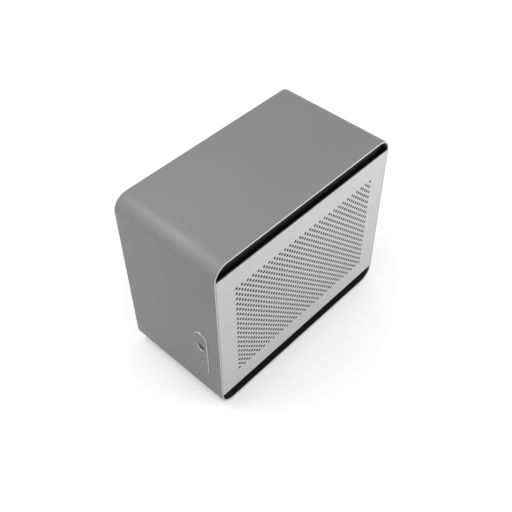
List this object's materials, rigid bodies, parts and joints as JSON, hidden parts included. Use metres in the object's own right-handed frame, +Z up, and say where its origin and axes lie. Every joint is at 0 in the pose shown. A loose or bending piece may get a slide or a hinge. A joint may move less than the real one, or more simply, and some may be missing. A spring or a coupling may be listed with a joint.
{
  "type": "mini-tower computer case",
  "caption": "Compact tower computer case: bent aluminium shell with rounded corners, flush perforated side panels that pull off, black steel frame, rear fan and a front power button.",
  "frame": {"origin": "on the floor, under the middle of the shell", "axes": "+Z up, front towards -Y, +X towards the side panel beside the power button"},
  "size_m": [0.18, 0.3401, 0.289],
  "materials": {
    "shell_aluminium": "fine bead-blasted, clear anodised",
    "panel_aluminium": "fine bead-blasted, clear anodised, perforated",
    "black_steel": "matt black powder coat",
    "zinc_steel": "zinc-plated steel",
    "black_screws": "black oxide",
    "nylon": "moulded nylon",
    "rubber": "matt rubber",
    "black_plastic": "fine texture",
    "mesh": "woven nylon mesh",
    "brass": "turned brass, bright",
    "board": "lacquered fibreglass",
    "clear_rod": "clear acrylic",
    "lamp": "clear epoxy",
    "bezel_aluminium": "bead-blasted, chamfered edge",
    "button_metal": "dark anodised"
  },
  "bodies": {
    "case": {"outer_shell": "shell_aluminium", "side_hoop_right": "black_steel", "side_hoop_left": "black_steel", "right_pin_catches": "nylon", "left_pin_catches": "nylon", "base_plate": "black_steel", "dust_filter": "black_plastic", "filter_mesh": "mesh", "foot_front_left": "rubber", "foot_front_right": "rubber", "foot_rear_left": "rubber", "foot_rear_right": "rubber", "foot_screws": "zinc_steel", "foot_nuts": "zinc_steel", "rear_panel": "black_steel", "rear_screws": "black_screws", "slot_cover_upper": "black_steel", "slot_cover_lower": "black_steel", "slot_screws": "black_screws", "power_inlet": "black_plastic", "inlet_pins": "zinc_steel", "fan_frame": "black_plastic", "fan_bearing": "brass", "fan_stator": "zinc_steel", "fan_grille": "black_steel", "fan_screws": "black_screws", "motherboard_tray": "black_steel", "board_standoffs": "brass", "tray_screws": "zinc_steel", "top_rail_front": "black_steel", "top_rail_rear": "black_steel", "front_rail": "black_steel", "supply_bracket": "black_steel", "drive_bracket": "black_steel", "drive_bracket_screws": "zinc_steel", "control_bezel": "bezel_aluminium", "power_switch": "black_plastic", "control_board": "board", "control_board_screws": "zinc_steel", "light_rod": "clear_rod", "power_lamp": "lamp"},
    "right_panel": {"side_panel_right": "panel_aluminium", "right_snap_pins": "zinc_steel"},
    "left_panel": {"side_panel_left": "panel_aluminium", "left_snap_pins": "zinc_steel"},
    "button": {"power_button": "button_metal", "switch_plunger": "black_plastic"},
    "fan": {"fan_rotor": "black_plastic"}
  },
  "joints": [
    {"name": "power_button_press", "type": "slide", "parent": "case", "child": "button", "axis": [0, 1, 0], "range_m": [0, 0.0012], "stiffness_N_per_m": 1200, "springref_m": -0.0006},
    {"name": "right_panel_pull", "type": "slide", "parent": "case", "child": "right_panel", "axis": [1, 0, 0], "range_m": [0, 0.06]},
    {"name": "left_panel_pull", "type": "slide", "parent": "case", "child": "left_panel", "axis": [-1, 0, 0], "range_m": [0, 0.06]},
    {"name": "fan_spin", "type": "hinge", "parent": "case", "child": "fan", "pos_m": [-0.033, 0.14, 0.209], "axis": [0, 1, 0], "continuous": true}
  ]
}
